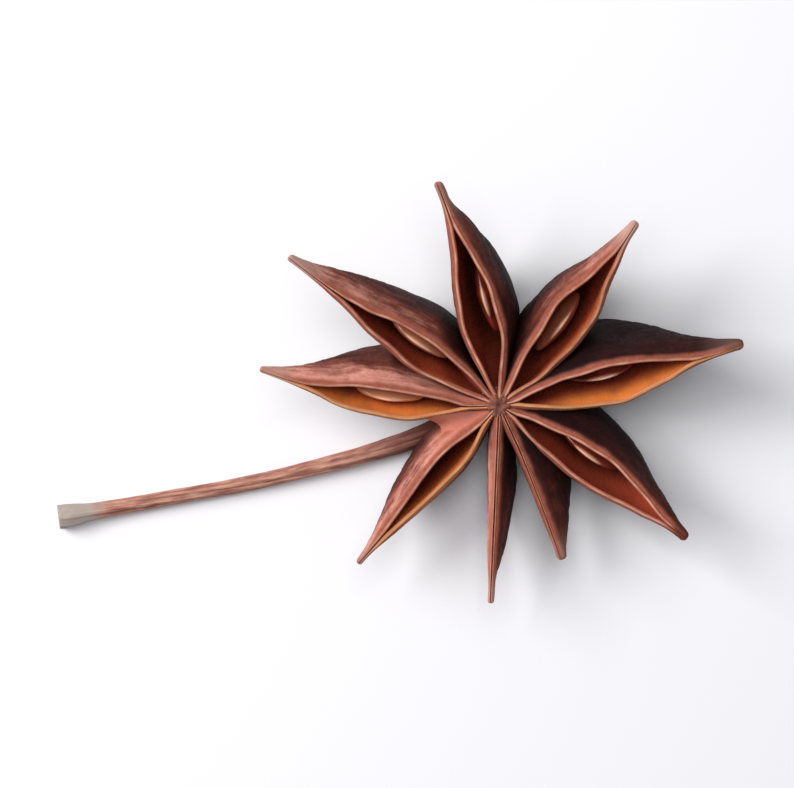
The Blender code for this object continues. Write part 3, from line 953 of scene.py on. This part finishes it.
@dataclass
class Column:
    """The short column that the carpels grow round, with the collar over the stalk at its foot."""

    top_mm: float = 0.10
    radius_mm: float = 1.0
    waist_mm: float = 0.95
    collar_mm: float = 1.85
    foot_mm: float = -5.35
    lobes: int = 9
    steps: int = 96

    def build(self) -> bmesh.types.BMesh:
        """Spins the outline, then ridges and pits its top.

        Returns:
            The closed mesh where it lies, in metres.
        """
        top = [(0.0, self.top_mm)] + [
            (self.radius_mm * i / 10, self.top_mm - 0.12 * (i / 10) ** 3) for i in range(1, 11)
        ]
        side = [
            (self.waist_mm, -0.4),
            (self.waist_mm, -2.0),
            (self.waist_mm + 0.1, -3.6),
            (self.collar_mm - 0.35, -4.3),
            (self.collar_mm, -4.8),
            (self.collar_mm - 0.1, self.foot_mm + 0.15),
            (self.collar_mm - 0.5, self.foot_mm),
            (0.0, self.foot_mm),
        ]
        bm = bmesh.new()
        line = [bm.verts.new((r, 0.0, z)) for r, z in top + side]
        edges = [bm.edges.new(pair) for pair in zip(line, line[1:])]
        bmesh.ops.subdivide_edges(bm, edges=edges[len(top) - 1 :], cuts=4)
        bmesh.ops.spin(
            bm,
            geom=bm.verts[:] + bm.edges[:],
            axis=(0, 0, 1),
            cent=(0, 0, 0),
            angle=math.tau,
            steps=self.steps,
            use_merge=True,
        )
        close_up(bm)
        places = places_of(bm)
        radius = np.hypot(places[:, 0], places[:, 1])
        angle = np.arctan2(places[:, 1], places[:, 0])
        on_top = smooth((places[:, 2] + 0.3) / 0.2)
        rib = np.cos(self.lobes * angle + 0.6 + 2.5 * speckle(places, 1.1, 3.0))
        pit = -0.16 * np.exp(-((radius / 0.25) ** 2)) + 0.05 * rib * smooth((radius - 0.3) / 0.5)
        grain = speckle(places, 0.45, 4.0)
        low = smooth((-places[:, 2] - 3.4) / 1.0)
        places[:, 2] += on_top * (pit + 0.13 * grain)
        crumble = 1 + (0.10 * grain + 0.05 * speckle(places, 0.9, 6.0)) * low
        places[:, :2] *= crumble[:, None]
        put(bm, places)
        mark(bm, "relief", on_top * (3.5 * pit + 0.5 * grain) + low * (grain - 0.1))
        bm.transform(lay_down())
        put(bm, rest_on_table(places_of(bm)))
        return bm

    def dress(self, bm: bmesh.types.BMesh, finish: bpy.types.Material) -> bpy.types.Object:
        """Makes the piece and sets it in the frame."""
        piece = finish_piece("column", bm, finish)
        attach(piece, "root")
        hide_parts("pod")
        return piece


@dataclass
class Stalk:
    """The stalk: a ridged, slightly knotty stem that flares into a broken end."""

    line: Sequence[tuple[tuple[float, float, float], float]]
    along_count: int = 260
    around: int = 56
    ridges: int = 7
    ridge_mm: float = 0.045
    grey_mm: float = 4.6
    dish_mm: float = 0.35

    def route(self, share: Array) -> tuple[Array, Array]:
        """Points of the centre line and its radius, at shares of its length."""
        points = np.array([place for place, _ in self.line])
        radii = [radius for _, radius in self.line]
        steps = np.linalg.norm(np.diff(points, axis=0), axis=1)
        marks = np.concatenate([[0.0], np.cumsum(steps)])
        marks /= marks[-1]
        middle = np.stack([through(list(zip(marks, points[:, i])), share) for i in range(3)], axis=1)
        return middle, through(list(zip(marks, radii)), share)

    def build(self) -> bmesh.types.BMesh:
        """Wraps a grid round the line, ridges it and dishes its end.

        Returns:
            The closed mesh where it lies, in metres.
        """
        bm = bmesh.new()
        bmesh.ops.create_grid(bm, x_segments=self.along_count, y_segments=self.around, size=1.0)
        flat = places_of(bm)
        row = np.rint((flat[:, 0] + 1) / 2 * self.along_count).astype(int)
        angle = (flat[:, 1] + 1) * math.pi
        ends = 6
        share = np.clip((row - ends) / (self.along_count - 2 * ends), 0.0, 1.0)
        middle, radius = self.route(share)
        ahead, _ = self.route(np.clip(share + 0.004, 0, 1))
        behind, _ = self.route(np.clip(share - 0.004, 0, 1))
        tangent = ahead - behind
        tangent /= np.linalg.norm(tangent, axis=1)[:, None]
        level = np.cross(tangent, (0.0, 0.0, 1.0))
        level /= np.linalg.norm(level, axis=1)[:, None]
        over = np.cross(level, tangent)
        length = 40.0
        along = share * length
        twist = angle + along * 0.05
        shrink = np.ones_like(radius)
        past = np.maximum(row - (self.along_count - ends), 0) / ends
        before = np.maximum(ends - row, 0) / ends
        shrink = np.where(past > 0, 1 - past, np.where(before > 0, 1 - before, shrink))
        inset = -self.dish_mm * np.sin(past * math.pi / 2)
        spine = np.stack([along * 0.9, np.cos(angle) * 1.3, np.sin(angle) * 1.3], axis=1)
        ridge = np.cos(self.ridges * twist) + 0.6 * np.cos((self.ridges * 2 + 3) * twist + along * 0.3)
        knot = speckle(spine, 2.4, 8.0)
        fray = speckle(spine, 0.55, 9.0)
        rough_end = smooth((share - 0.955) / 0.03)
        relief = 0.55 * ridge + 0.5 * fray
        radius = radius * (1 + 0.07 * knot) + self.ridge_mm * ridge * (0.4 + radius) + 0.09 * rough_end * fray
        reach = radius * shrink
        ring = level * (np.cos(angle) * reach)[:, None] + over * (np.sin(angle) * reach)[:, None]
        put(bm, middle + ring + tangent * (inset + 0.12 * rough_end * fray * (past > 0))[:, None])
        mark(bm, "along", along)
        mark(bm, "across", angle * 0.7)
        mark(bm, "relief", relief)
        to_end = length * (1 - share)
        mark(bm, "grey", smooth((self.grey_mm + 1.5 * knot - to_end) / 2.2))
        mark(bm, "pith", smooth((past - 0.45) / 0.3))
        close_up(bm)
        bm.transform(Matrix.Scale(MM, 4) @ Matrix.Translation(HUB))
        put(bm, rest_on_table(places_of(bm)))
        return bm

    def dress(self, bm: bmesh.types.BMesh, finish: bpy.types.Material) -> bpy.types.Object:
        """Makes the piece and sets it in the frame."""
        piece = finish_piece("stalk", bm, finish)
        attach(piece, "root")
        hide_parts("pod")
        return piece


@dataclass
class Studio:
    """A pale table, soft light from the left and a camera straight overhead."""

    floor_code: str = "#f3f2f5"
    lens_mm: float = 250.0
    distance_mm: float = 470.0
    aim_mm: tuple[float, float] = (0.0, 0.0)

    def build(self) -> None:
        """Makes the table, the lights and the camera."""
        self.lay_table()
        self.hang_light("window", (-0.300, 0.125, 0.262), 0.22, 1.65)
        self.hang_light("overhead", (-0.02, 0.080, 0.40), 0.22, 0.60)
        world = bpy.data.worlds.new("studio")
        world.use_nodes = True
        world.node_tree.nodes["Background"].inputs["Color"].default_value = linear("#f4f6fb")
        world.node_tree.nodes["Background"].inputs["Strength"].default_value = 0.28
        bpy.context.scene.world = world
        bpy.context.scene.view_settings.view_transform = "Standard"
        data = bpy.data.cameras.new("overhead")
        data.lens = self.lens_mm
        data.clip_start = 0.01
        camera = bpy.data.objects.new("overhead", data)
        camera.location = (self.aim_mm[0] * MM, self.aim_mm[1] * MM, self.distance_mm * MM)
        bpy.context.scene.collection.objects.link(camera)
        bpy.context.scene.camera = camera

    def lay_table(self) -> None:
        """Makes the pale table top."""
        bm = bmesh.new()
        bmesh.ops.create_grid(bm, x_segments=1, y_segments=1, size=1.5)
        made, tree, shader = blank_material("white_table_top")
        shader.inputs["Base Color"].default_value = linear(self.floor_code)
        shader.inputs["Roughness"].default_value = 0.8
        table = finish_piece("table_top", bm, made)

    def hang_light(self, name: str, place: tuple[float, float, float], size: float, power: float) -> None:
        """Hangs a square soft light, facing the pod.

        Args:
            name: The light's name.
            place: Where it hangs, in metres.
            size: Its side, in metres.
            power: Its power in watts.
        """
        data = bpy.data.lights.new(name, "AREA")
        data.size = size
        data.energy = power
        light = bpy.data.objects.new(name, data)
        light.location = place
        light.rotation_euler = (-Vector(place)).to_track_quat("-Z", "Y").to_euler()
        bpy.context.scene.collection.objects.link(light)


def main() -> None:
    """Builds the pod's pieces in order and reports each one."""
    logging.basicConfig(level=logging.INFO, format="%(message)s")
    skin = HuskFinish().make_skin()
    lining = HuskFinish().make_lining()
    coat = SeedFinish().make()
    bark = StalkFinish().make()
    cork = CorkFinish().make()
    pieces = []
    carpels = []
    for place, plan in enumerate(PLANS):
        carpel = Carpel(plan, left=PLANS[place - 1], right=PLANS[(place + 1) % len(PLANS)])
        carpels.append(carpel)
        pieces.append(carpel.dress(carpel.build(), skin, lining))
        if plan.seed_at:
            seed = Seed(carpel)
            pieces.append(seed.dress(seed.build(), coat))
    fused = FusedFlank(carpels[0], carpels[-1])
    pieces.append(fused.dress(fused.build(), skin))
    column = Column()
    pieces.append(column.dress(column.build(), cork))
    stalk = Stalk(STALK_LINE)
    pieces.append(stalk.dress(stalk.build(), bark))
    for piece in pieces:
        LOG.info("%s: %d faces", piece.name, len(piece.data.polygons))
    Studio().build()
    bpy.context.view_layer.update()


if __name__ == "__main__":
    main()
